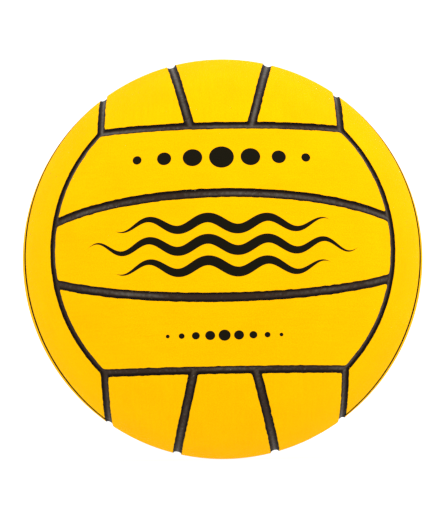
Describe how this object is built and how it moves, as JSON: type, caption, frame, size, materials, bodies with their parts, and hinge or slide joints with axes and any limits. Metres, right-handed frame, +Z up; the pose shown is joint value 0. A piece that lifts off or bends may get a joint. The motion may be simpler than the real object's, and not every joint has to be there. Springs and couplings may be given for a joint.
{
  "type": "water polo ball",
  "caption": "Round inflated rubber ball for water polo: matte yellow strip panels in crossing groups, grooved black seams and a needle valve.",
  "frame": {"origin": "centre of the ball", "axes": "+Z up as pictured, -Y towards the viewer, at the middle of the front panel group; the valve is on +Y, at the middle of the back"},
  "size_m": [0.22, 0.2199, 0.22],
  "materials": {
    "panel_rubber": "matte",
    "seam_rubber": "satin",
    "carcass_rubber": "matte",
    "nylon_thread": "matte",
    "bladder_rubber": "satin",
    "valve_rubber": "satin",
    "valve_core_rubber": "matte"
  },
  "bodies": {
    "root": {"bladder": "bladder_rubber", "winding": "nylon_thread", "carcass": "carcass_rubber", "seam_strips": "seam_rubber", "valve_body": "valve_rubber", "valve_core": "valve_core_rubber", "front_upper_panel": "panel_rubber", "front_middle_panel": "panel_rubber", "front_lower_panel": "panel_rubber", "back_upper_panel": "panel_rubber", "back_middle_panel": "panel_rubber", "back_lower_panel": "panel_rubber", "top_left_panel": "panel_rubber", "top_middle_panel": "panel_rubber", "top_right_panel": "panel_rubber", "bottom_left_panel": "panel_rubber", "bottom_middle_panel": "panel_rubber", "bottom_right_panel": "panel_rubber", "left_front_panel": "panel_rubber", "left_middle_panel": "panel_rubber", "left_back_panel": "panel_rubber", "right_front_panel": "panel_rubber", "right_middle_panel": "panel_rubber", "right_back_panel": "panel_rubber"}
  },
  "joints": []
}
